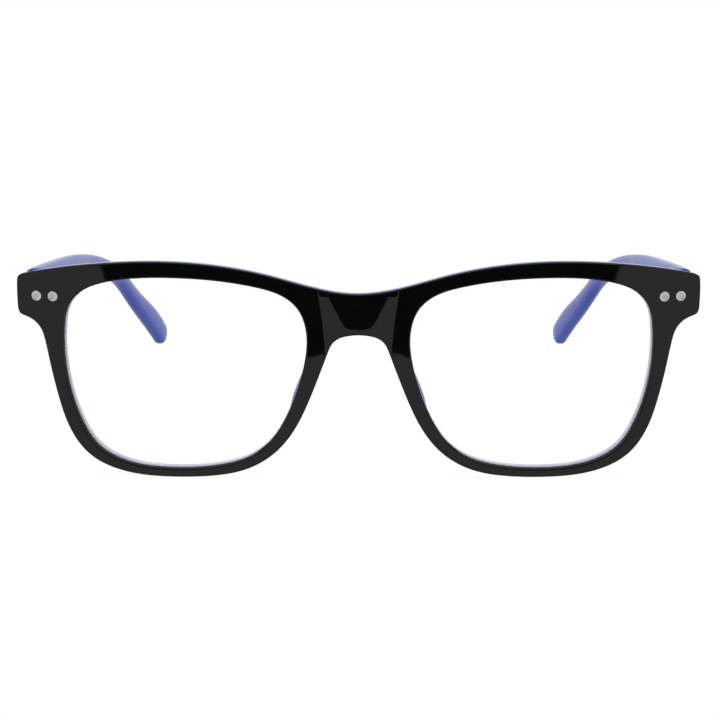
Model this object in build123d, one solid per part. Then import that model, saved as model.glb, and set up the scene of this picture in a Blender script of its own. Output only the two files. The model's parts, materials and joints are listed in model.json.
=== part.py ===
"""Full-rim glasses with a laminated front, clear lenses, nose pads and two folding temples.

Sizes are in millimetres. X runs across the face and +X is the wearer's left, Y runs back
towards the ears, Z is up. The open glasses stand on Z = 0 on both rims and both temple tips.
Everything is modelled for the wearer's left and mirrored for the right.
"""
import os
from math import asin, cos, degrees, sin, sqrt

from build123d import *

os.makedirs("parts", exist_ok=True)

# Overall placing
FRONT_Y = -74.8            # foremost point of the front
MID_Z = 22.72               # lens mid-line above the table

# Front: a piece of a sphere with slightly converging edges
FRONT_RADIUS = 290.0
EDGE_APEX = 500.0          # the cut edges of the front aim at a point this far behind it
BLANK_FROM = -2.0
BLANK_TO = 18.0
OUTER_LAYER = 1.6
INNER_LAYER = 2.4
FRONT_THICKNESS = OUTER_LAYER + INNER_LAYER
FACE_ROUND = 0.3           # rounding where the face meets its edges
BACK_ROUND = 0.6           # rounding on the wearer's side

# Half outline of the front, seen from ahead, measured from the bridge and the lens mid-line:
# top edge, end piece, temporal side, lower rim, nasal side and the arch of the bridge
HALF_OUTLINE = [
    (0, 15.85), (8, 16.83), (18, 19.42), (28, 21.24), (40, 21.97), (52.5, 21.36), (62, 20.17),
    (65.9, 19.46), (67.8, 19.05), (68.9, 18.8), (69.55, 18.58), (69.93, 18.2), (70.07, 17.6),
    (70.12, 16.6), (70.12, 14.7), (70.05, 12.7), (69.93, 11.5), (69.6, 10.72), (68.75, 10.24),
    (67.5, 9.75), (66.3, 8.95), (65.1, 7.41), (64.39, 5.21), (63.37, 0.22), (61.78, -6.61), (59.44, -13.37),
    (55.7, -18.4), (49.37, -21.56), (38.4, -22.7), (30.5, -22.3), (22.75, -20.6), (16.95, -17.0),
    (12.85, -11.83), (10.34, -6.73), (7.68, 0.0), (6.18, 4.0), (5.25, 5.86), (3.9, 6.9), (2.18, 7.4),
    (0, 7.6),
]

# Lens opening at the face, same measuring points
LENS_OPENING = [
    (37.7, 18.81), (47.6, 18.32), (53.4, 17.1), (57.0, 15.37), (59.35, 12.75), (60.44, 8.0),
    (60.47, 2.5), (59.38, -4.9), (57.1, -11.6), (53.8, -16.65), (48.55, -19.65), (38.4, -20.96),
    (28.32, -20.06), (22.3, -18.1), (18.55, -15.3), (15.04, -10.15), (12.31, -3.37), (10.72, 3.32),
    (10.75, 8.87), (12.48, 13.0), (15.27, 15.32), (20.54, 17.11), (28.0, 18.3),
]

LENS_CENTRE = (35.5, -1.1)
LENS_HALF = (24.9, 20.0)

# Lens and its groove in the inner layer
GROOVE_WIDTH = 1.0
GROOVE_DEPTH = 0.7
LENS_CLEARANCE = 0.04
LENS_FRONT_DEPTH = 1.1     # lens front surface below the face
LENS_THICKNESS = 2.0

# Nose pad: a rounded ridge behind the nasal rim
PAD_CENTRE = (10.85, -3.6)    # across, up
PAD_HALF = (1.45, 5.2, 7.6)   # half thickness, reach to the back, half length
PAD_LEAN = 23.0               # follows the slope of the nasal rim
PAD_FLARE = 8.0               # opens towards the face
PAD_SINK = 0.3                # let into the inner layer

# Hinge
HINGE_X = 64.25            # middle of the riveted plate, across
HINGE_Z = 14.4             # hinge mid-height above the lens mid-line
RIVET_PITCH = 3.5
RIVET_SHANK = 1.3
RIVET_HEAD = 2.1
RIVET_HEAD_HEIGHT = 0.6
RIVET_PROUD = 0.12         # on the front
RIVET_SUNK = 0.02          # below the outside of the temples
RIVET_DISH = (1.45, 0.07)  # shallow round recess in the head, diameter and depth
LEAF_THICKNESS = 0.9
FRONT_LEAF_WIDTH = 6.6
PIN_OFFSET = 1.85          # pin axis behind the back of the front
PIN_SHIFT = -0.15          # pin axis inboard of the plate's middle
KNUCKLES = 5
BARREL_DIAMETER = 3.0
BARREL_HEIGHT = 1.16
BARREL_GAP = 0.06
HINGE_HEIGHT = KNUCKLES * BARREL_HEIGHT + (KNUCKLES - 1) * BARREL_GAP
SCREW_DIAMETER = 1.4
SCREW_CLEARANCE = 0.04
SCREW_HEAD = (2.4, 0.6)    # diameter and height
SCREW_SLOT = (0.35, 0.3)   # width and depth
SCREW_END = 0.25           # stands out below the last barrel

# Temple plan, measured from the pin: first number outboard of it, second number behind it
TEMPLE_YAW = 2.4
TEMPLE_GAP = 0.08          # between the back of the front and the end of the temple
TEMPLE_INNER_FACE = 1.8
TEMPLE_INNER_PLAN = [(1.8, 58.5), (1.05, 73.6), (-0.79, 95.3), (-3.09, 113.6), (-6.92, 139.1)]
TEMPLE_OUTER_PLAN = [(5.9, -4.0), (4.6, 60.0), (3.82, 73.8), (1.98, 95.5), (-0.34, 114.0), (-4.22, 139.9)]
# Temple side view: behind the front's foremost point, above the lens mid-line
TEMPLE_TOP = [
    (8.0, 19.45), (13.0, 19.15), (22.0, 18.5), (32.8, 17.5), (52.6, 15.47), (72.3, 12.73), (87.4, 9.85),
    (99.7, 6.65), (109.1, 3.26), (118.5, -1.5), (127.7, -6.27), (138.5, -11.5), (147.9, -17.4),
]
TEMPLE_TIP = (149.1, -21.25)
TEMPLE_BOTTOM = [
    (144.8, -22.15), (133.9, -15.48), (125.5, -10.6), (116.8, -5.38), (107.7, -0.55), (98.4, 2.37),
    (86.2, 4.6), (71.2, 6.35), (51.6, 7.7), (31.8, 9.2), (12.0, 10.5), (8.0, 10.85),
]
TEMPLE_ROUND = 1.1
TEMPLE_LEAF = (-0.9, 10.2)    # from and to, behind the pin
TEMPLE_RIVETS = (4.4, 8.4)    # behind the pin


def sagitta(x, z):
    """How far the curved face lies behind its foremost point."""
    return FRONT_RADIUS - sqrt(FRONT_RADIUS**2 - x**2 - z**2)


def at_depth(points, back):
    """Carry face points along the cut edges to the flat plane `back` behind the foremost point."""
    moved = []
    for x, z in points:
        scale = (EDGE_APEX - back) / (EDGE_APEX - sagitta(x, z))
        moved.append((x * scale, z * scale))
    return moved


def face_plane(back):
    """Upright plane across the front, local X across and local Y up."""
    return Plane(origin=(0, FRONT_Y + back, MID_Z), x_dir=(1, 0, 0), z_dir=(0, -1, 0))


def inside_sphere(depth):
    """Everything further back than this depth below the face."""
    return Pos(0, FRONT_Y + FRONT_RADIUS, MID_Z) * Sphere(FRONT_RADIUS - depth)


def shell(outer_depth, inner_depth):
    """Layer of the sphere between two depths below the face."""
    return inside_sphere(outer_depth) - inside_sphere(inner_depth)


def smooth_loop(points, pieces):
    """Closed smooth curve through the points, cut into equal pieces, as a flat face."""
    curve = Spline(*points, periodic=True).edge()
    steps = [n / pieces for n in range(pieces + 1)]
    return make_face([curve.trim(a, b) for a, b in zip(steps, steps[1:])])


def front_outline(back):
    """Closed outline of the whole front on a flat plane."""
    other_half = [(-x, z) for x, z in reversed(HALF_OUTLINE[1:-1])]
    return face_plane(back) * smooth_loop(at_depth(HALF_OUTLINE + other_half, back), 24)


def lens_outline(back, grow=0.0):
    """Lens opening on a flat plane, grown outwards by about `grow` all round."""
    points = []
    for x, z in LENS_OPENING:
        wider = (x - LENS_CENTRE[0]) * (1 + grow / LENS_HALF[0])
        taller = (z - LENS_CENTRE[1]) * (1 + grow / LENS_HALF[1])
        points.append((LENS_CENTRE[0] + wider, LENS_CENTRE[1] + taller))
    return face_plane(back) * smooth_loop(at_depth(points, back), 8)


def through_front(outline, *grow):
    """Solid cut right through the front along its converging edges."""
    return loft([outline(BLANK_FROM, *grow), outline(BLANK_TO, *grow)], ruled=True)


def front_layers():
    """The two laminated layers with lens openings and lens grooves."""
    opening = through_front(lens_outline)
    blank = through_front(front_outline) - opening - opening.mirror(Plane.YZ)
    outer = blank & shell(0, OUTER_LAYER)
    inner = blank & shell(OUTER_LAYER, FRONT_THICKNESS)
    groove = through_front(lens_outline, GROOVE_DEPTH) & shell(OUTER_LAYER, OUTER_LAYER + GROOVE_WIDTH)
    inner = inner - groove - groove.mirror(Plane.YZ)
    outer = fillet(sphere_face(outer, 0).edges(), FACE_ROUND)
    inner = fillet(sphere_face(inner, FRONT_THICKNESS).edges(), BACK_ROUND)
    return outer, inner


def sphere_face(part, depth):
    """The largest curved face of the part that lies at this depth below the face."""
    radius = FRONT_RADIUS - depth
    faces = part.faces().filter_by(GeomType.SPHERE)
    return max(faces, key=lambda face: face.area * (abs(face.radius - radius) < 0.01))


def lens():
    """Clear lens with a thinner tongue round its edge that sits in the groove."""
    front_depth = OUTER_LAYER + LENS_CLEARANCE
    back_depth = OUTER_LAYER + GROOVE_WIDTH - LENS_CLEARANCE
    body = through_front(lens_outline, -LENS_CLEARANCE)
    tongue = through_front(lens_outline, GROOVE_DEPTH - LENS_CLEARANCE)
    body = body & shell(LENS_FRONT_DEPTH, LENS_FRONT_DEPTH + LENS_THICKNESS)
    return body + (tongue & shell(front_depth, back_depth))


def nose_pad():
    """Rounded ridge glued to the back of the nasal rim."""
    x, z = PAD_CENTRE
    seat = FRONT_THICKNESS - PAD_SINK
    place = Pos(x, FRONT_Y + sagitta(x, z) + seat, MID_Z + z)
    pad = place * Rot(0, -PAD_LEAN, 0) * Rot(0, 0, -PAD_FLARE) * scale(Sphere(1), by=PAD_HALF)
    return pad & inside_sphere(seat)


def hinge_frames():
    """Upright frames on the pin, X outboard: one square to the front, one square to the temple."""
    turn = asin(HINGE_X / FRONT_RADIUS)
    back = PIN_OFFSET + FRONT_THICKNESS
    x = HINGE_X + PIN_SHIFT * cos(turn) - back * sin(turn)
    y = FRONT_Y + sagitta(HINGE_X, HINGE_Z) + PIN_SHIFT * sin(turn) + back * cos(turn)
    pin = Pos(x, y, MID_Z + HINGE_Z)
    return pin * Rot(0, 0, degrees(turn)), pin * Rot(0, 0, TEMPLE_YAW)


def box_between(low, high):
    """Box from its two extreme corners."""
    size = [b - a for a, b in zip(low, high)]
    middle = [(a + b) / 2 for a, b in zip(low, high)]
    return Pos(*middle) * Box(*size)


def knuckles(first, web_low, web_high):
    """Every other barrel of the hinge with the web that ties it to its plate."""
    part = None
    for level in range(first, KNUCKLES, 2):
        z = (level - (KNUCKLES - 1) / 2) * (BARREL_HEIGHT + BARREL_GAP)
        low = (*web_low, z - BARREL_HEIGHT / 2)
        high = (*web_high, z + BARREL_HEIGHT / 2)
        piece = Pos(0, 0, z) * Cylinder(BARREL_DIAMETER / 2, BARREL_HEIGHT) + box_between(low, high)
        part = piece if part is None else part + piece
    return part - Cylinder(SCREW_DIAMETER / 2 + SCREW_CLEARANCE, 2 * HINGE_HEIGHT)


def leaf_plate(low, high):
    """Hinge plate as high as the barrel stack."""
    return box_between((*low, -HINGE_HEIGHT / 2), (*high, HINGE_HEIGHT / 2))


def rivet(length, proud):
    """Rivet along -Y: head at the front with a dished middle, shank running `length` back."""
    head = Cylinder(RIVET_HEAD / 2, RIVET_HEAD_HEIGHT, align=(Align.CENTER, Align.CENTER, Align.MAX))
    head = Pos(0, 0, proud) * head
    head = chamfer(head.edges().sort_by(Axis.Z)[-1], 0.08)
    dish = Pos(0, 0, proud) * Cylinder(RIVET_DISH[0] / 2, 2 * RIVET_DISH[1])
    shank = Cylinder(RIVET_SHANK / 2, length, align=(Align.CENTER, Align.CENTER, Align.MAX))
    return Rot(90, 0, 0) * (head + shank - dish)


def screw():
    """Slotted pivot screw, head on top."""
    radius = SCREW_DIAMETER / 2
    length = HINGE_HEIGHT + SCREW_END
    shank = Pos(0, 0, HINGE_HEIGHT / 2) * Cylinder(
        radius, length, align=(Align.CENTER, Align.CENTER, Align.MAX)
    )
    head = Pos(0, 0, HINGE_HEIGHT / 2) * Cylinder(
        SCREW_HEAD[0] / 2, SCREW_HEAD[1], align=(Align.CENTER, Align.CENTER, Align.MIN)
    )
    head = fillet(head.edges().sort_by(Axis.Z)[-1], 0.25)
    slot = Pos(0, 0, HINGE_HEIGHT / 2 + SCREW_HEAD[1]) * Box(SCREW_SLOT[0], 4, 2 * SCREW_SLOT[1])
    return shank + head - slot


def temple_blank(temple_frame):
    """Temple cut from its plan strip and its side outline, its end following the front's back."""
    inner_start = (TEMPLE_INNER_FACE, TEMPLE_OUTER_PLAN[0][1])
    with BuildLine() as plan:
        Line(inner_start, TEMPLE_INNER_PLAN[0])
        Spline(*TEMPLE_INNER_PLAN)
        Line(TEMPLE_INNER_PLAN[-1], TEMPLE_OUTER_PLAN[-1])
        Spline(*TEMPLE_OUTER_PLAN[1:])
        Line(TEMPLE_OUTER_PLAN[1], TEMPLE_OUTER_PLAN[0])
        Line(TEMPLE_OUTER_PLAN[0], inner_start)
    strip = temple_frame * Pos(0, 0, -60) * extrude(make_face(plan.line), amount=120)
    with BuildLine() as side:
        Spline(*TEMPLE_TOP)
        ThreePointArc(TEMPLE_TOP[-1], TEMPLE_TIP, TEMPLE_BOTTOM[0])
        Spline(*TEMPLE_BOTTOM)
        Line(TEMPLE_BOTTOM[-1], TEMPLE_TOP[0])
    side_plane = Plane(origin=(40, FRONT_Y, MID_Z), x_dir=(0, 1, 0), z_dir=(1, 0, 0))
    profile = extrude(side_plane * make_face(side.line), amount=40)
    return strip & profile & inside_sphere(FRONT_THICKNESS + TEMPLE_GAP)


def front_hardware(frame):
    """Hinge leaf, screw and the two rivets that stay on the front."""
    radius = BARREL_DIAMETER / 2
    back = -PIN_OFFSET
    plate_from = -PIN_SHIFT - FRONT_LEAF_WIDTH / 2
    plate = leaf_plate((plate_from, back - 2), (plate_from + FRONT_LEAF_WIDTH, back + 1))
    plate = (frame * plate) & shell(FRONT_THICKNESS - LEAF_THICKNESS, FRONT_THICKNESS)
    leaf = plate + frame * knuckles(0, (-radius, back - 0.5), (radius, 0))
    parts = {"hinge_screw": frame * screw()}
    for name, side in (("outer", 0.5), ("inner", -0.5)):
        place = Pos(side * RIVET_PITCH - PIN_SHIFT, back - FRONT_THICKNESS, 0)
        fastener = frame * place * rivet(FRONT_THICKNESS, RIVET_PROUD)
        leaf = leaf - fastener
        parts["front_rivet_" + name] = fastener
    parts["front_hinge_leaf"] = leaf
    return parts


def temple_hardware(frame):
    """Hinge leaf and the two rivets that swing with the temple."""
    face = TEMPLE_INNER_FACE
    plate = leaf_plate((face, TEMPLE_LEAF[0]), (face + LEAF_THICKNESS, TEMPLE_LEAF[1]))
    parts = {"temple_hinge_leaf": plate + knuckles(1, (0, -1.2), (face + 0.05, 1.2))}
    (x_from, y_from), (x_to, y_to) = TEMPLE_OUTER_PLAN[:2]
    for name, y in zip(("front", "rear"), TEMPLE_RIVETS):
        outside = x_from + (x_to - x_from) * (y - y_from) / (y_to - y_from)
        fastener = Pos(outside, y, 0) * Rot(0, 0, 90) * rivet(outside - face, -RIVET_SUNK)
        parts["temple_hinge_leaf"] = parts["temple_hinge_leaf"] - fastener
        parts["temple_rivet_" + name] = fastener
    return {name: frame * part for name, part in parts.items()}


def rivet_mouths(frame):
    """Open ends of the rivet holes in the outside of the temple."""
    (x_from, y_from), (x_to, y_to) = TEMPLE_OUTER_PLAN[:2]
    mouths = []
    for y in TEMPLE_RIVETS:
        outside = x_from + (x_to - x_from) * (y - y_from) / (y_to - y_from)
        mouths.append(frame * Pos(outside, y, 0) * Rot(0, 90, 0) * Cylinder(RIVET_HEAD / 2, 0.4))
    return mouths


def temple(temple_frame):
    """Side arm with rounded edges all round except at its end against the front."""
    blank = temple_blank(temple_frame)
    end_of_butt = FRONT_Y + 15
    edges = [edge for edge in blank.edges() if edge.bounding_box().max.Y > end_of_butt]
    return fillet(edges, TEMPLE_ROUND)


def without(part, tools):
    """The part with every tool cut away."""
    for tool in tools:
        part = part - tool
    return part


def build():
    """All pieces by name."""
    outer, inner = front_layers()
    front_frame, temple_frame = hinge_frames()
    fixed = front_hardware(front_frame)
    swinging = temple_hardware(temple_frame)
    fixed["lens"] = lens()
    fixed["nose_pad"] = nose_pad()
    tools = list(swinging.values()) + rivet_mouths(temple_frame)
    swinging["temple"] = without(temple(temple_frame), tools)
    parts = {}
    for name, part in {**fixed, **swinging}.items():
        parts[name + "_left"] = part
        parts[name + "_right"] = part.mirror(Plane.YZ)
    riveted = [part for name, part in parts.items() if name.startswith("front_")]
    pads = [part for name, part in parts.items() if name.startswith("nose_pad")]
    parts["front_outer_layer"] = without(outer, riveted)
    parts["front_inner_layer"] = without(inner, riveted + pads)
    return parts


for part_name, solid in build().items():
    export_step(solid, "parts/" + part_name + ".step")
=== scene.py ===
"""Blue light glasses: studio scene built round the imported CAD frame.

Lengths are in millimetres, as in the CAD source, and turn into metres when a mesh is made. X runs
across the face, Y back towards the ears, Z up. "Flat" points are places (x, z) on the face of the
front, with z counted from the mid-line of the lenses. A depth is counted from the curved face.
"""
import json
import math

import bmesh
import bpy
import numpy as np
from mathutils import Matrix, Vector
from mathutils.geometry import delaunay_2d_cdt


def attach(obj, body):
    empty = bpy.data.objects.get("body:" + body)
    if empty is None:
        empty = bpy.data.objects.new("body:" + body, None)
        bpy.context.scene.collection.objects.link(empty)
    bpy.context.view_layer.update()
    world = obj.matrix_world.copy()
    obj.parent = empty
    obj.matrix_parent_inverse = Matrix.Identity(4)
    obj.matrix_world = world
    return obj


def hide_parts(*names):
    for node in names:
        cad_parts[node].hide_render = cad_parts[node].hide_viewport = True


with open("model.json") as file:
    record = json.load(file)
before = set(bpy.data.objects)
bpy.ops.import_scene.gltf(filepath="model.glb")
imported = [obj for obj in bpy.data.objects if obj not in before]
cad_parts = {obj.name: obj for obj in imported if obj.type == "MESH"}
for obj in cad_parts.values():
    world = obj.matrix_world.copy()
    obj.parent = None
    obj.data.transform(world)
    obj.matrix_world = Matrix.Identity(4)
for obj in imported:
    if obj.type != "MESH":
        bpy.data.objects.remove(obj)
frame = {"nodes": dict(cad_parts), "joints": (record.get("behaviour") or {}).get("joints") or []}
bpy.context.view_layer.update()
MM = 0.001
PINS = {joint["child"]: np.array(joint["pos_m"]) / MM for joint in frame["joints"]}

# Shape of the front, as in the CAD source
FRONT_Y = -74.8          # foremost point of the face
MID_Z = 22.72            # mid-line of the lenses
FRONT_RADIUS = 290.0     # of the curved face
EDGE_APEX = 500.0        # the cut edges converge on a point this far behind the face
BLANK_FROM = -2.0        # planes between which the cut edges are drawn
BLANK_TO = 18.0
OUTER_LAYER = 1.6        # thickness of the black layer
FACE_ROUND = 0.3         # rounding of its front edges
TONGUE_BACK = 2.8        # back of the tongue that holds a lens, below the face
HALF_OUTLINE = [
    (0, 15.85), (8, 16.83), (18, 19.42), (28, 21.24), (40, 21.97), (52.5, 21.36), (62, 20.17),
    (65.9, 19.46), (67.8, 19.05), (68.9, 18.8), (69.55, 18.58), (69.93, 18.2), (70.07, 17.6),
    (70.12, 16.6), (70.12, 14.7), (70.05, 12.7), (69.93, 11.5), (69.6, 10.72), (68.75, 10.24),
    (67.5, 9.75), (66.3, 8.95), (65.1, 7.41), (64.39, 5.21), (63.37, 0.22), (61.78, -6.61),
    (59.44, -13.37), (55.7, -18.4), (49.37, -21.56), (38.4, -22.7), (30.5, -22.3), (22.75, -20.6),
    (16.95, -17.0), (12.85, -11.83), (10.34, -6.73), (7.68, 0.0), (6.18, 4.0), (5.25, 5.86),
    (3.9, 6.9), (2.18, 7.4), (0, 7.6),
]
LENS_OPENING = [
    (37.7, 18.81), (47.6, 18.32), (53.4, 17.1), (57.0, 15.37), (59.35, 12.75), (60.44, 8.0),
    (60.47, 2.5), (59.38, -4.9), (57.1, -11.6), (53.8, -16.65), (48.55, -19.65), (38.4, -20.96),
    (28.32, -20.06), (22.3, -18.1), (18.55, -15.3), (15.04, -10.15), (12.31, -3.37), (10.72, 3.32),
    (10.75, 8.87), (12.48, 13.0), (15.27, 15.32), (20.54, 17.11), (28.0, 18.3),
]

# Rivets of the end pieces
HINGE_X = 64.25          # middle of each pair
HINGE_Z = 14.4
RIVET_PITCH = 3.5
RIVET_HOLE = 1.06
HOLE_ROUND = 0.06
HOLE_POINTS = 48
RIVET_POINTS = 64
PIN_SHIFT = -0.15        # hinge pin inboard of the middle of the pair
PIN_BEHIND = 5.85        # hinge pin behind the face
DISH_RADIUS = 0.6        # dished, brushed middle of a rivet; the ring outside it has its metal painted brighter, a painted highlight
# radius and height above the face: dished middle, rounded ring, head, shank
RIVET_PROFILE = [
    (0.0, 0.075), (0.2, 0.074), (0.4, 0.072), (0.56, 0.07), (0.62, 0.071), (0.66, 0.078),
    (0.7, 0.09), (0.74, 0.103), (0.79, 0.114), (0.85, 0.12), (0.91, 0.116), (0.97, 0.102),
    (1.01, 0.08), (1.04, 0.03), (1.05, -0.02), (1.05, -0.44), (1.0, -0.48), (0.7, -0.48),
    (0.65, -0.52), (0.65, -3.95), (0.6, -4.0),
]

# Sculpted bridge: a flat shield between two sunk flanks, each ending at a crease
SHIELD = [
    (5.75, 17.5), (6.1, 15.45), (5.2, 13.7), (4.45, 12.3), (3.75, 10.9), (3.1, 9.85), (2.4, 9.1),
    (1.6, 8.78), (0.8, 8.72), (0.0, 8.7),
]
FLANK_LINE = [(2.5, 7.1), (4.2, 6.85), (5.3, 6.8), (10.0, 7.25), (15.6, 8.1), (18.0, 8.5)]
FLANK_DEPTH = 0.3
FLANK_FLAT = 4.5         # beyond the crease the depth stays the same over this width
FLANK_FADE = 14.0        # and then fades out over this one
CREASE_STEP = 0.07       # the creases are eased over this reach
CREASE_FROM = 7.6        # heights between which the outer creases have their own mesh rows
CREASE_TO = 17.0

# Mesh of the face
EDGE_SPACING = 0.42
EDGE_SAMPLES = 8001      # places at which the bend of an outline is measured
MEASURED_AT = 4.0        # plane in which it is measured
BEND_WEIGHT = 5.0        # points stand closer where an outline bends,
MOST_WEIGHT = 7.0        # up to this many times
EASED_OVER = 60          # samples over which the spacing changes
ALONG_STEP = 1e-4        # share of an outline used to find its direction
ROUND_STEPS = 6
COARSE_GRID = 0.75
FACE_AREA = (-71.0, 71.0, -23.5, 23.0)      # x from and to, z from and to
FINE_GRID = 0.16
BRIDGE_AREA = (-11.4, 11.4, 1.2, 17.5)
ROW_RATIO = 0.866        # distance of the rows of a grid, as a share of its step
ROW_SPACING = 0.1
CLEARANCE = 0.1          # grid points keep this far from edges and mesh rows

# Camera
CAMERA_UP = 11.8         # degrees
CAMERA_ASIDE = 0.16
CAMERA_DISTANCE = 500.0
SENSOR = 36.0
FOCAL_LENGTH = 123.4715
CAMERA_SHIFT = (0.00153, 0.01822)


# ---------------------------------------------------------------- curves and surfaces
def unit(vectors):
    """The vectors, one to a row, brought to length 1."""
    return vectors / np.linalg.norm(vectors, axis=1)[:, None]


def sagitta(x, z):
    """How far the curved face lies behind its foremost point."""
    return FRONT_RADIUS - np.sqrt(FRONT_RADIUS**2 - x**2 - z**2)


def at_plane(points, back):
    """Carry face points along the cut edges to the flat plane `back` behind the foremost point."""
    scale = (EDGE_APEX - back) / (EDGE_APEX - sagitta(points[:, 0], points[:, 1]))
    return points * scale[:, None]


def closed_spline(points, places):
    """Closed smooth cubic curve through the points, at places from 0 to 1 along it."""
    count = len(points)
    steps = np.linalg.norm(np.roll(points, -1, axis=0) - points, axis=1)
    matrix = np.zeros((count, count))
    right = np.zeros((count, 2))
    slopes = (np.roll(points, -1, axis=0) - points) / steps[:, None]
    for i in range(count):
        before = steps[i - 1]
        matrix[i, i - 1] += before
        matrix[i, i] += 2 * (before + steps[i])
        matrix[i, (i + 1) % count] += steps[i]
        right[i] = 6 * (slopes[i] - slopes[i - 1])
    bend = np.linalg.solve(matrix, right)
    knots = np.concatenate([[0], np.cumsum(steps)])
    along = np.mod(places, 1.0) * knots[-1]
    span = np.clip(np.searchsorted(knots, along, side="right") - 1, 0, count - 1)
    after = (span + 1) % count
    width = steps[span][:, None]
    a = (knots[span + 1] - along)[:, None]
    b = (along - knots[span])[:, None]
    curve = (bend[span] * a**3 + bend[after] * b**3) / (6 * width)
    curve += (points[span] / width - bend[span] * width / 6) * a
    return curve + (points[after] / width - bend[after] * width / 6) * b


class CutEdge:
    """Wall of the front along a closed outline; it converges towards a point far behind.

    `solid_side` is 1 where the material lies to the left of the outline's direction, else -1.
    """

    rounding = FACE_ROUND

    def __init__(self, outline, solid_side):
        self.outline = np.array(outline, float)
        self.side = solid_side
        fine = np.linspace(0, 1, EDGE_SAMPLES)
        curve = self.in_plane(fine, MEASURED_AT)
        steps = np.linalg.norm(np.diff(curve, axis=0), axis=1)
        turn = np.unwrap(np.arctan2(*np.diff(curve, axis=0).T[::-1]))
        bend = np.abs(np.gradient(turn)) / np.maximum(steps, 1e-9)
        weight = steps * np.clip(bend * BEND_WEIGHT, 1.0, MOST_WEIGHT)
        window = 2 * EASED_OVER + 1
        padded = np.pad(weight, EASED_OVER, mode="wrap")
        weight = np.convolve(padded, np.ones(window) / window, "valid")
        total = np.concatenate([[0], np.cumsum(weight)])
        self.count = int(total[-1] / EDGE_SPACING)
        self.places = np.interp(np.arange(self.count) / self.count * total[-1], total, fine)

    def in_plane(self, places, back):
        """Points of the wall in the plane `back` behind the foremost point of the face."""
        near = closed_spline(at_plane(self.outline, BLANK_FROM), places)
        far = closed_spline(at_plane(self.outline, BLANK_TO), places)
        share = (np.asarray(back) - BLANK_FROM) / (BLANK_TO - BLANK_FROM)
        share = np.broadcast_to(share, (len(places),))[:, None]
        return near * (1 - share) + far * share

    def flat(self, depth, inset, places=None):
        """Points on the wall this deep below the face, moved `inset` into the material."""
        places = self.places if places is None else places
        points = self.in_plane(places, depth)
        for _ in range(3):
            points = self.in_plane(places, sagitta(points[:, 0], points[:, 1]) + depth)
        if inset:
            ahead = self.flat(depth, 0, places + ALONG_STEP)
            behind = self.flat(depth, 0, places - ALONG_STEP)
            along = unit(ahead - behind)
            inward = np.stack([-along[:, 1], along[:, 0]], axis=1) * self.side
            points = points + inward * inset
        return points


class RoundHole:
    """Bore square to the face for a rivet."""

    rounding = HOLE_ROUND

    def __init__(self, centre, radius):
        self.centre = np.array(centre)
        self.radius = radius
        self.count = HOLE_POINTS
        self.places = np.arange(HOLE_POINTS) / HOLE_POINTS

    def flat(self, depth, inset, places=None):
        """Points on the bore this deep below the face, moved `inset` into the material."""
        places = self.places if places is None else places
        angle = 2 * math.pi * places
        ring = np.stack([np.cos(angle), np.sin(angle)], axis=1) * (self.radius + inset)
        return self.centre * (1 - depth / FRONT_RADIUS) + ring


def shield_distance(x, z):
    """Distance outside the raised shield of the bridge, 0 on it."""
    half = np.array(SHIELD)
    ring = np.concatenate([half, (half * [-1, 1])[::-1][1:]])
    points = np.stack([np.abs(x), z], axis=-1)
    best = np.full(x.shape, 1e9)
    for a, b in zip(ring[:-1], ring[1:]):
        edge = b - a
        share = np.clip(((points - a) @ edge) / (edge @ edge), 0, 1)
        gap = np.linalg.norm(points - (a + share[..., None] * edge), axis=-1)
        best = np.minimum(best, gap)
    half_width = np.interp(z, half[::-1, 1], half[::-1, 0])
    inside = (np.abs(x) < half_width) & (z > half[-1, 1])
    return np.where(inside, 0.0, best)


def relief(x, z):
    """Depth to which the face is sunk round the bridge shield."""
    line = np.array(FLANK_LINE)
    crease = np.interp(z, line[:, 0], line[:, 1])
    across = np.abs(x)
    to_shield = shield_distance(x, z)
    to_crease = np.maximum(crease - across, 0)
    flank = to_shield / np.maximum(to_shield + to_crease, 1e-6)
    fade = np.clip((across - crease - FLANK_FLAT) / FLANK_FADE, 0, 1)
    base = 1 - fade * fade * (3 - 2 * fade)
    return FLANK_DEPTH * np.where(across < crease, flank, base)


def soft_relief(x, z):
    """The relief with its creases eased over a fraction of a millimetre."""
    total = relief(x, z) * 2
    for dx, dz in ((1, 0), (-1, 0), (0, 1), (0, -1)):
        total = total + relief(x + dx * CREASE_STEP, z + dz * CREASE_STEP)
    return total / 6


def crease_rows():
    """Mesh points on both sides of the relief's creases, so that they run clean."""
    z = np.arange(CREASE_FROM, CREASE_TO, ROW_SPACING)
    line = np.array(FLANK_LINE)
    outer = np.stack([np.interp(z, line[:, 0], line[:, 1]), z], axis=1)
    half = np.array(SHIELD)
    steps = np.linalg.norm(np.diff(half, axis=0), axis=1)
    along = np.concatenate([[0], np.cumsum(steps)])
    places = np.arange(3 * ROW_SPACING, along[-1], ROW_SPACING)
    inner = np.stack([np.interp(places, along, half[:, k]) for k in (0, 1)], axis=1)
    rows = []
    for curve in (outer, inner):
        way = unit(np.gradient(curve, axis=0))
        aside = np.stack([-way[:, 1], way[:, 0]], axis=1) * CREASE_STEP
        for row in (curve + aside, curve - aside):
            rows += [row, row * [-1, 1]]
    return np.concatenate(rows)


def layer_point(flat, depth):
    """3-D points of the black layer at this depth; its back face stays where the CAD has it."""
    x, z = flat[:, 0], flat[:, 1]
    sink = soft_relief(x, z) * (1 - depth / OUTER_LAYER)
    y = sagitta(x, z) + depth + sink
    return np.stack([x, FRONT_Y + y, MID_Z + z], axis=1)


def face_normal(flat):
    """Outward normals of the sunk and curved face."""
    step = 0.03
    x, z = flat[:, 0], flat[:, 1]

    def height(px, pz):
        return sagitta(px, pz) + soft_relief(px, pz)

    slope_x = (height(x + step, z) - height(x - step, z)) / (2 * step)
    slope_z = (height(x, z + step) - height(x, z - step)) / (2 * step)
    return unit(np.stack([slope_x, -np.ones_like(x), slope_z], axis=1))


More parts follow.
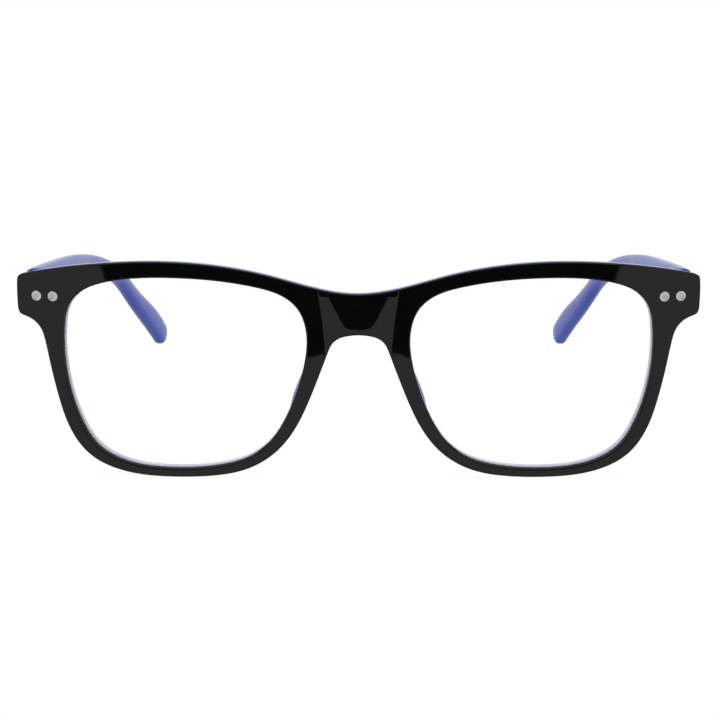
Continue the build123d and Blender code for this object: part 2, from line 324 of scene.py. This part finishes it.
def wall_normal(edge):
    """Normals of the cut wall, pointing out of the material."""
    middle = OUTER_LAYER / 2
    ahead = layer_point(edge.flat(middle, 0, edge.places + ALONG_STEP), middle)
    behind = layer_point(edge.flat(middle, 0, edge.places - ALONG_STEP), middle)
    down = layer_point(edge.flat(OUTER_LAYER, 0), OUTER_LAYER) - layer_point(edge.flat(0.0, 0), 0.0)
    normal = unit(np.cross(ahead - behind, down))
    probe = 0.2
    inward = edge.flat(middle, probe) - edge.flat(middle, 0)
    wrong = (normal[:, 0] * inward[:, 0] + normal[:, 2] * inward[:, 1]) > 0
    normal[wrong] *= -1
    return normal


# ---------------------------------------------------------------- mesh helpers
def inside_loop(points, loop):
    """Even-odd test of points against a closed loop."""
    x, z = points[:, 0], points[:, 1]
    hit = np.zeros(len(points), bool)
    ax, az = loop[:, 0], loop[:, 1]
    bx, bz = np.roll(ax, -1), np.roll(az, -1)
    for x0, z0, x1, z1 in zip(ax, az, bx, bz):
        if z0 == z1:
            continue
        crosses = (z0 > z) != (z1 > z)
        hit ^= crosses & (x < (x1 - x0) * (z - z0) / (z1 - z0) + x0)
    return hit


def loop_gap(points, loop):
    """Distance from points to the nearest vertex of a loop."""
    best = np.full(len(points), 1e9)
    batch = 64
    for start in range(0, len(loop), batch):
        part = loop[start:start + batch]
        gap = np.linalg.norm(points[:, None, :] - part[None, :, :], axis=2).min(axis=1)
        best = np.minimum(best, gap)
    return best


def hex_grid(x_from, x_to, z_from, z_to, step):
    """Staggered grid of points."""
    rows = np.arange(z_from, z_to, step * ROW_RATIO)
    points = []
    for i, z in enumerate(rows):
        x = np.arange(x_from + (i % 2) * step / 2, x_to, step)
        points.append(np.stack([x, np.full_like(x, z)], axis=1))
    return np.concatenate(points)


def fill_between(outer, holes, grid):
    """Triangles over the region inside `outer` and outside the holes."""
    loops = [outer] + holes
    keep = inside_loop(grid, outer)
    for loop in loops:
        keep &= loop_gap(grid, loop) > CLEARANCE
    for loop in holes:
        keep &= ~inside_loop(grid, loop)
    points = np.concatenate(loops + [grid[keep]])
    edges = []
    start = 0
    for loop in loops:
        edges += [(start + i, start + (i + 1) % len(loop)) for i in range(len(loop))]
        start += len(loop)
    result = delaunay_2d_cdt([Vector(p) for p in points.tolist()], edges, [], 0, 1e-7, True)
    out_points = np.array([tuple(v) for v in result[0]])
    triangles = np.array([tuple(t) for t in result[2]])
    source = np.array([ids[0] for ids in result[3]])
    centre = out_points[triangles].mean(axis=1)
    good = inside_loop(centre, outer)
    for loop in holes:
        good &= ~inside_loop(centre, loop)
    return points, source[triangles[good]]


def turned_outward(quads, points, normals):
    """The quads, all reversed if they look against the normals of their corners."""
    places = np.concatenate(points)
    looks = np.concatenate(normals)
    corners = places[np.array(quads)]
    facing = np.cross(corners[:, 2] - corners[:, 0], corners[:, 3] - corners[:, 1])
    agree = np.einsum("ij,ij->i", facing, looks[np.array(quads)].mean(axis=1)).sum()
    return quads if agree > 0 else [quad[::-1] for quad in quads]


def between_rings(rings):
    """Quads that join each ring of vertex numbers to the next."""
    quads = []
    for upper, lower in zip(rings[:-1], rings[1:]):
        for i in range(len(upper)):
            j = (i + 1) % len(upper)
            quads.append((upper[i], upper[j], lower[j], lower[i]))
    return quads


def make_piece(name, points, faces, material):
    """Smooth-shaded mesh object in metres."""
    mesh = bpy.data.meshes.new(name)
    mesh.from_pydata((np.asarray(points) * MM).tolist(), [], [list(map(int, f)) for f in faces])
    mesh.materials.append(material)
    mesh.shade_smooth()
    piece = bpy.data.objects.new(name, mesh)
    bpy.context.scene.collection.objects.link(piece)
    return piece


# ---------------------------------------------------------------- black face of the front
def front_edges():
    """Cut edges of the front: outline, two lens openings, four rivet holes."""
    outline = HALF_OUTLINE + [(-x, z) for x, z in reversed(HALF_OUTLINE[1:-1])]
    mirrored = [(-x, z) for x, z in reversed(LENS_OPENING)]
    edges = [CutEdge(outline, -1), CutEdge(LENS_OPENING, 1), CutEdge(mirrored, 1)]
    turn = math.asin(HINGE_X / FRONT_RADIUS)
    for side in (1, -1):
        for offset in (0.5, -0.5):
            x = HINGE_X + offset * RIVET_PITCH * math.cos(turn)
            edges.append(RoundHole((side * x, HINGE_Z), RIVET_HOLE))
    return edges


def face_grid():
    """Mesh points over the face, closer on the bridge, with rows along its creases."""
    coarse = hex_grid(*FACE_AREA, COARSE_GRID)
    fine = hex_grid(*BRIDGE_AREA, FINE_GRID)
    _, bridge_side, bridge_foot, _ = BRIDGE_AREA
    beside = np.abs(coarse[:, 0]) > bridge_side + CLEARANCE
    away = beside | (coarse[:, 1] < bridge_foot - 2 * CLEARANCE)
    rows = crease_rows()
    fine = fine[loop_gap(fine, rows) > CLEARANCE]
    return np.concatenate([coarse[away], fine, rows])


def rounded_wall(edge):
    """Points and normals, ring by ring, from the rounded rim down to the back of the layer."""
    front = face_normal(edge.flat(0, edge.rounding))
    outward = wall_normal(edge)
    profile = []
    for angle in np.linspace(0, math.pi / 2, ROUND_STEPS + 1)[1:]:
        inset = edge.rounding * (1 - math.sin(angle))
        profile.append((inset, edge.rounding * (1 - math.cos(angle)), angle))
    profile += [(0.0, OUTER_LAYER / 2, math.pi / 2), (0.0, OUTER_LAYER, math.pi / 2)]
    points = [layer_point(edge.flat(depth, inset), depth) for inset, depth, _ in profile]
    normals = [unit(front * math.cos(angle) + outward * math.sin(angle)) for _, _, angle in profile]
    return points, normals


def front_face_piece(material):
    """Black outer layer of the front with its sculpted bridge and rounded edges."""
    edges = front_edges()
    rims = [edge.flat(0, edge.rounding) for edge in edges]
    flat, triangles = fill_between(rims[0], rims[1:], face_grid())
    points = [layer_point(flat, 0)]
    normals = [face_normal(flat)]
    a, b, c = (points[0][triangles[:, i]] for i in range(3))
    if np.cross(b - a, c - a)[:, 1].sum() > 0:
        triangles = triangles[:, ::-1]
    faces = [tuple(t) for t in triangles]

    total = len(flat)
    start = 0
    below = {}
    for edge in edges:
        ring_points, ring_normals = rounded_wall(edge)
        points += ring_points
        normals += ring_normals
        rings = [range(start, start + edge.count)]
        rings += [range(total + i * edge.count, total + (i + 1) * edge.count)
                  for i in range(len(ring_points))]
        faces += turned_outward(between_rings(rings), points, normals)
        below.update(zip(rings[0], rings[-1]))
        start += edge.count
        total += len(ring_points) * edge.count
    front_count = len(faces)

    # back of the layer: the same triangles, one layer down
    points.append(layer_point(flat[start:] * (1 - OUTER_LAYER / EDGE_APEX), OUTER_LAYER))
    mapping = np.array([below.get(i, total + i - start) for i in range(len(flat))])
    faces += [tuple(mapping[t][::-1]) for t in triangles]

    points = np.concatenate(points)
    normals = np.concatenate(normals)
    centre = np.array([0, FRONT_Y + FRONT_RADIUS, MID_Z])
    corners = [normals[vertex] for face in faces[:front_count] for vertex in face]
    backs = [centre - points[vertex] for face in faces[front_count:] for vertex in face]
    piece = make_piece("front_black_face", points, faces, material)
    piece.data.normals_split_custom_set(np.concatenate([corners, unit(np.array(backs))]).tolist())
    return piece


# ---------------------------------------------------------------- rivets
def rivet_piece(name, side, pin, offset, ring_painted_highlight_material, dish_material):
    """Round rivet: a rounded ring about a dished middle, both brushed; the ring's metal is painted
    brighter than the middle's, a painted highlight.
    """
    turn = side * math.asin(HINGE_X / FRONT_RADIUS)
    across = np.array([math.cos(turn), math.sin(turn), 0])
    ahead = np.array([math.sin(turn), -math.cos(turn), 0])
    up = np.array([0, 0, 1.0])
    seat = pin + side * across * (offset * RIVET_PITCH - PIN_SHIFT) + ahead * PIN_BEHIND
    angles = np.arange(RIVET_POINTS) * 2 * math.pi / RIVET_POINTS
    spokes = np.cos(angles)[:, None] * across + np.sin(angles)[:, None] * up
    points = [seat + ahead * RIVET_PROFILE[0][1]]
    rings = []
    for radius, height in RIVET_PROFILE[1:]:
        rings.append(range(len(points), len(points) + RIVET_POINTS))
        points += list(seat + ahead * height + spokes * radius)
    points.append(seat + ahead * RIVET_PROFILE[-1][1])
    last = len(points) - 1

    faces = between_rings(rings)
    dished = [radius < DISH_RADIUS for radius, _ in RIVET_PROFILE[1:-1] for _ in range(RIVET_POINTS)]
    for i in range(RIVET_POINTS):
        j = (i + 1) % RIVET_POINTS
        faces += [(0, rings[0][j], rings[0][i]), (rings[-1][i], rings[-1][j], last)]
        dished += [True, False]
    # the ring takes the painted-highlight metal, the dished middle the plain rivet metal
    piece = make_piece(name, points, faces, ring_painted_highlight_material)
    piece.data.materials.append(dish_material)
    for face, in_dish in zip(piece.data.polygons, dished):
        face.material_index = int(in_dish)
    shape = bmesh.new()
    shape.from_mesh(piece.data)
    bmesh.ops.recalc_face_normals(shape, faces=shape.faces)
    shape.to_mesh(piece.data)
    shape.free()
    return piece


# ---------------------------------------------------------------- node helpers
def new_tree(name):
    """Material with an empty node tree and its output node."""
    material = bpy.data.materials.new(name)
    material.use_nodes = True
    tree = material.node_tree
    tree.nodes.clear()
    return material, tree, tree.nodes.new("ShaderNodeOutputMaterial")


def node(tree, kind, **values):
    """New node with its sockets or properties set by name; sockets may be linked."""
    made = tree.nodes.new(kind)
    for key, value in values.items():
        key = key.replace("_", " ") if key.replace("_", " ") in made.inputs else key
        if isinstance(value, bpy.types.NodeSocket):
            tree.links.new(value, made.inputs[key])
        elif key in made.inputs:
            made.inputs[key].default_value = value
        else:
            setattr(made, key, value)
    return made


def calc(tree, operation, *values):
    """Result socket of a maths node fed by sockets or numbers."""
    made = tree.nodes.new("ShaderNodeMath")
    made.operation = operation
    for socket, value in zip(made.inputs, values):
        if isinstance(value, bpy.types.NodeSocket):
            tree.links.new(value, socket)
        else:
            socket.default_value = value
    return made.outputs[0]


def chosen(tree, share, first, second):
    """Number that goes from the second to the first as the share goes from 0 to 1."""
    rest = calc(tree, "SUBTRACT", 1.0, share)
    return calc(tree, "ADD", calc(tree, "MULTIPLY", share, first), calc(tree, "MULTIPLY", rest, second))


def remap(tree, value, low, high, to_low, to_high, smooth=False):
    """Value carried from one range to another, clamped."""
    made = tree.nodes.new("ShaderNodeMapRange")
    made.interpolation_type = "SMOOTHSTEP" if smooth else "LINEAR"
    ends = {"From Min": low, "From Max": high, "To Min": to_low, "To Max": to_high}
    for name, number in ends.items():
        made.inputs[name].default_value = number
    tree.links.new(value, made.inputs["Value"])
    return made.outputs["Result"]


def ramp(tree, source, first, last, low=0.3, high=0.7):
    """Colour that goes from the first to the last while the source goes from low to high."""
    made = tree.nodes.new("ShaderNodeValToRGB")
    for element, place, colour in zip(made.color_ramp.elements, (low, high), (first, last)):
        element.position = place
        element.color = (*colour, 1.0)
    tree.links.new(source, made.inputs["Fac"])
    return made.outputs["Color"]


def noise(tree, scale, detail=3.0, roughness=0.6):
    """Noise over the object's own coordinates."""
    place = tree.nodes.new("ShaderNodeTexCoord")
    made = node(tree, "ShaderNodeTexNoise", Vector=place.outputs["Object"], Scale=scale)
    made.inputs["Detail"].default_value = detail
    made.inputs["Roughness"].default_value = roughness
    return made.outputs["Fac"]


def bump(tree, height, strength, distance):
    """Bump node fed by a height."""
    return node(tree, "ShaderNodeBump", Height=height, Strength=strength, Distance=distance)


def mixed(tree, share, first, second):
    """Mix of two shaders; the share belongs to the second."""
    mix = node(tree, "ShaderNodeMixShader", Fac=share)
    tree.links.new(first.outputs[0], mix.inputs[1])
    tree.links.new(second.outputs[0], mix.inputs[2])
    return mix


# ---------------------------------------------------------------- materials
def black_acetate():
    """Polished black acetate: near-black body, clear gloss that stays dark at the edges."""
    material, tree, out = new_tree("black_acetate")
    cloud = ramp(tree, noise(tree, 220), (0.0022, 0.0022, 0.0024), (0.0032, 0.0032, 0.0036))
    body = node(tree, "ShaderNodeBsdfDiffuse", Color=cloud)
    wipe = remap(tree, noise(tree, 900), 0.3, 0.7, 0.018, 0.035)
    gloss = node(tree, "ShaderNodeBsdfGlossy", Roughness=wipe)
    peel = bump(tree, noise(tree, 500, 2), 0.02, 0.0001)
    tree.links.new(peel.outputs["Normal"], gloss.inputs["Normal"])
    facing = node(tree, "ShaderNodeLayerWeight", Blend=0.5).outputs["Facing"]
    share = remap(tree, calc(tree, "POWER", facing, 5.0), 0.0, 1.0, 0.041, 0.06)
    tree.links.new(mixed(tree, share, body, gloss).outputs[0], out.inputs["Surface"])
    return material


def blue_acetate(name, roughness, softening, slant, power):
    """Blue acetate: slightly cloudy, satin to gloss, paler where it is seen at a slant.

    `softening` is the reach in metres over which edges are eased, `slant` the share of gloss at
    the flattest view, and `power` says how late it sets in.
    """
    material, tree, out = new_tree(name)
    cloud = ramp(tree, noise(tree, 140, 4), (0.063, 0.093, 0.435), (0.069, 0.101, 0.455))
    wipe = remap(tree, noise(tree, 500), 0.3, 0.7, roughness * 0.9, roughness * 1.1)
    body = node(tree, "ShaderNodeBsdfPrincipled", Base_Color=cloud, Roughness=0.6)
    body.inputs["Specular IOR Level"].default_value = 0.0
    gloss = node(tree, "ShaderNodeBsdfGlossy", Roughness=wipe)
    eased = node(tree, "ShaderNodeBevel", samples=8, Radius=softening).outputs["Normal"]
    peel = bump(tree, noise(tree, 300, 2), 0.002, 0.0001)
    tree.links.new(eased, peel.inputs["Normal"])
    for shader in (body, gloss):
        tree.links.new(peel.outputs["Normal"], shader.inputs["Normal"])
    facing = node(tree, "ShaderNodeLayerWeight", Blend=0.5, Normal=eased).outputs["Facing"]
    share = remap(tree, calc(tree, "POWER", facing, power), 0.0, 1.0, 0.04, slant)
    tree.links.new(mixed(tree, share, body, gloss).outputs[0], out.inputs["Surface"])
    return material


def metal(name, tone, roughness):
    """Satin metal brushed across."""
    material, tree, out = new_tree(name)
    place = tree.nodes.new("ShaderNodeTexCoord")
    stretch = node(tree, "ShaderNodeMapping", Vector=place.outputs["Object"])
    stretch.inputs["Scale"].default_value = (400.0, 400.0, 12000.0)
    grain = node(tree, "ShaderNodeTexNoise", Vector=stretch.outputs[0], Scale=1.0).outputs["Fac"]
    tint = ramp(tree, grain, tuple(c * 0.86 for c in tone), tone)
    wear = remap(tree, grain, 0.3, 0.7, roughness * 0.8, roughness * 1.2)
    scratch = bump(tree, grain, 0.05, 0.00002).outputs["Normal"]
    shader = node(tree, "ShaderNodeBsdfPrincipled", Metallic=1.0, Base_Color=tint, Roughness=wear,
                  Normal=scratch)
    tree.links.new(shader.outputs[0], out.inputs["Surface"])
    return material


def ground_rim(tree):
    """Share of the matt ground surface on a lens: its edge walls and its tongue."""
    place = tree.nodes.new("ShaderNodeNewGeometry")
    parts = node(tree, "ShaderNodeSeparateXYZ", Vector=place.outputs["True Normal"])
    level = calc(tree, "ABSOLUTE", parts.outputs["Y"])
    wall = remap(tree, level, 0.55, 0.65, 1.0, 0.0)
    reach = node(tree, "ShaderNodeVectorMath", operation="DISTANCE")
    tree.links.new(place.outputs["Position"], reach.inputs[0])
    reach.inputs[1].default_value = (0.0, (FRONT_Y + FRONT_RADIUS) * MM, MID_Z * MM)
    depth = calc(tree, "SUBTRACT", FRONT_RADIUS * MM, reach.outputs["Value"])
    held_from, held_to = OUTER_LAYER, TONGUE_BACK
    soft = 0.05
    held = remap(tree, depth, (held_from - soft) * MM, (held_from + soft) * MM, 0.0, 1.0)
    tongue = remap(tree, depth, (held_to - soft) * MM, (held_to + soft) * MM, 1.0, 0.0)
    return calc(tree, "MULTIPLY", held, calc(tree, "MAXIMUM", wall, tongue))


def clear_lens():
    """Clear lens: light passes, a violet-blue coating reflects a little, the rim is ground."""
    material, tree, out = new_tree("clear_lens")
    through = node(tree, "ShaderNodeBsdfTransparent", Color=(1.0, 1.0, 1.0, 1.0))
    facing = node(tree, "ShaderNodeLayerWeight", Blend=0.5).outputs["Facing"]
    strength = remap(tree, calc(tree, "POWER", facing, 4.0), 0.0, 1.0, 0.01, 0.4)
    tint = ramp(tree, facing, (0.35, 0.42, 1.0), (0.75, 0.8, 1.0), 0.0, 0.8)
    coating = node(tree, "ShaderNodeVectorMath", operation="SCALE")
    tree.links.new(tint, coating.inputs[0])
    tree.links.new(strength, coating.inputs["Scale"])
    gloss = node(tree, "ShaderNodeBsdfGlossy", Roughness=0.01)
    tree.links.new(coating.outputs[0], gloss.inputs["Color"])
    clear = tree.nodes.new("ShaderNodeAddShader")
    tree.links.new(through.outputs[0], clear.inputs[0])
    tree.links.new(gloss.outputs[0], clear.inputs[1])
    cloud = ramp(tree, noise(tree, 800), (0.62, 0.62, 0.67), (0.68, 0.68, 0.74))
    ground = node(tree, "ShaderNodeBsdfDiffuse", Color=cloud)
    lens = mixed(tree, ground_rim(tree), clear, ground)
    tree.links.new(lens.outputs[0], out.inputs["Surface"])
    return material


# ---------------------------------------------------------------- studio
def mirrored_flag(tree, side, up):
    """Dark flag ahead of the glasses: 1 where the direction (degrees) meets it."""
    wide = calc(tree, "SUBTRACT", side, calc(tree, "MULTIPLY", up, 0.33))
    in_width = remap(tree, wide, 27.2, 27.5, 1.0, 0.0)
    shoulder = remap(tree, side, 15.5, 19.6, -4.0, -6.0)
    above = remap(tree, calc(tree, "SUBTRACT", up, shoulder), -0.1, 0.1, 0.0, 1.0)
    limit = remap(tree, up, -8.0, -5.0, 6.2, 11.0)
    narrow = remap(tree, calc(tree, "SUBTRACT", side, limit), -0.1, 0.1, 1.0, 0.0)
    sill = calc(tree, "ADD", up, calc(tree, "MULTIPLY", side, 0.29))
    in_height = remap(tree, sill, -8.9, -8.7, 0.0, 1.0)
    stem = calc(tree, "MULTIPLY", narrow, in_height)
    return calc(tree, "MAXIMUM", calc(tree, "MULTIPLY", in_width, above), stem)


def mirrored_room(tree, side, up):
    """Brightness of the side walls, backdrop, floor and ceiling as mirrored in the parts."""
    behind = remap(tree, side, 80.0, 130.0, 0.0, 1.0, True)
    backdrop = remap(tree, up, -40.0, 5.0, 0.7, 0.95, True)
    walls = chosen(tree, behind, backdrop, 0.62)
    ceiling = remap(tree, up, 25.0, 60.0, 0.0, 1.0, True)
    floor = remap(tree, up, -30.0, -60.0, 0.0, 1.0, True)
    dimmed = calc(tree, "SUBTRACT", 1.0, calc(tree, "MULTIPLY", floor, 0.6))
    room = calc(tree, "MULTIPLY", walls, dimmed)
    return calc(tree, "ADD", room, calc(tree, "MULTIPLY", ceiling, 0.3))


def studio_world():
    """White surroundings for the eye; soft studio walls, floor and flag for reflections."""
    world = bpy.data.worlds.new("studio")
    bpy.context.scene.world = world
    world.use_nodes = True
    tree = world.node_tree
    tree.nodes.clear()
    place = tree.nodes.new("ShaderNodeTexCoord")
    parts = node(tree, "ShaderNodeSeparateXYZ", Vector=place.outputs["Generated"])
    x, y, z = parts.outputs
    squares = calc(tree, "ADD", calc(tree, "MULTIPLY", x, x), calc(tree, "MULTIPLY", y, y))
    degree = 180 / math.pi
    level = calc(tree, "SQRT", squares)
    up = calc(tree, "MULTIPLY", calc(tree, "ARCTAN2", z, level), degree)
    ahead = calc(tree, "MULTIPLY", y, -1.0)
    aside = calc(tree, "ABSOLUTE", x)
    side = calc(tree, "MULTIPLY", calc(tree, "ARCTAN2", aside, ahead), degree)
    lit = calc(tree, "SUBTRACT", 1.0, mirrored_flag(tree, side, up))
    mirrored = calc(tree, "MULTIPLY", mirrored_room(tree, side, up), lit)
    soft = remap(tree, z, -1.0, 1.0, 0.55, 1.3)

    rays = tree.nodes.new("ShaderNodeLightPath").outputs
    strength = chosen(tree, rays["Is Glossy Ray"], mirrored, soft)
    strength = chosen(tree, rays["Is Camera Ray"], 1.0, strength)
    glow = node(tree, "ShaderNodeBackground", Strength=strength, Color=(1.0, 1.0, 1.0, 1.0))
    out = tree.nodes.new("ShaderNodeOutputWorld")
    tree.links.new(glow.outputs[0], out.inputs["Surface"])


def floor_sheet():
    """Plain white floor with a faint contact shadow."""
    material, tree, out = new_tree("pale_floor")
    near = node(tree, "ShaderNodeAmbientOcclusion", Distance=0.004).outputs["AO"]
    shade = ramp(tree, near, (0.95, 0.95, 0.96), (1.0, 1.0, 1.0), 0.0, 0.9)
    glow = node(tree, "ShaderNodeEmission", Strength=1.0, Color=shade)
    tree.links.new(glow.outputs[0], out.inputs["Surface"])
    mesh = bpy.data.meshes.new("floor")
    corners = [(-9, -9, 0), (9, -9, 0), (9, 9, 0), (-9, 9, 0)]
    mesh.from_pydata(corners, [], [(0, 1, 2, 3)])
    mesh.materials.append(material)
    sheet = bpy.data.objects.new("floor", mesh)
    bpy.context.scene.collection.objects.link(sheet)
    sheet.visible_glossy = False
    sheet.visible_diffuse = False
    sheet.visible_shadow = False


def long_lens_camera():
    """Long lens, a little above the glasses, aimed at the middle of the front."""
    data = bpy.data.cameras.new("camera")
    camera = bpy.data.objects.new("camera", data)
    bpy.context.scene.collection.objects.link(camera)
    data.sensor_width = SENSOR
    data.lens = FOCAL_LENGTH
    data.shift_x, data.shift_y = CAMERA_SHIFT
    data.clip_start = 0.01
    data.clip_end = 50.0
    target = Vector((0.0, FRONT_Y, MID_Z)) * MM
    aside = math.radians(CAMERA_ASIDE)
    rise = math.tan(math.radians(CAMERA_UP))
    away = Vector((math.sin(aside), -math.cos(aside), rise)).normalized()
    camera.location = target + away * CAMERA_DISTANCE * MM
    camera.rotation_euler = (-away).to_track_quat("-Z", "Y").to_euler()
    bpy.context.scene.camera = camera


# ---------------------------------------------------------------- the glasses
BLACK = black_acetate()
BLUE = blue_acetate("blue_acetate", 0.3, 0.0035, 0.85, 6.0)
INNER = blue_acetate("inner_blue_acetate", 0.2, 0.0003, 0.9, 4.0)
STEEL = metal("nickel_silver", (0.62, 0.61, 0.62), 0.3)
RIVET = metal("rivet_metal", (0.86, 0.85, 0.86), 0.5)
# the rivet ring: a brighter copy of the rivet metal, painted highlight
RING_PAINTED_HIGHLIGHT = metal("rivet_ring_painted_highlight_metal", (1.0, 1.0, 1.0), 0.45)
LENS = clear_lens()

# a node takes the material of the first of these words that its name holds
LOOKS = [
    ("lens", LENS), ("front_inner", INNER), ("nose_pad", INNER), ("rivet", RIVET), ("hinge", STEEL),
    ("front_outer", BLACK), ("temple", BLUE),
]
for name, piece in frame["nodes"].items():
    piece.material_slots[0].material = next(look for word, look in LOOKS if word in name)

front_face = front_face_piece(BLACK)
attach(front_face, "front")
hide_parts("front_outer_layer")

for side, word in ((1, "left"), (-1, "right")):
    pin = PINS[f"temple_{word}"]
    for offset, spot in ((0.5, "outer"), (-0.5, "inner")):
        fastener = rivet_piece(f"rivet_{spot}_{word}", side, pin, offset, RING_PAINTED_HIGHLIGHT, RIVET)
        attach(fastener, "front")
        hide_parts(f"front_rivet_{spot}_{word}")

studio_world()
floor_sheet()
long_lens_camera()
bpy.context.scene.view_settings.view_transform = "Standard"
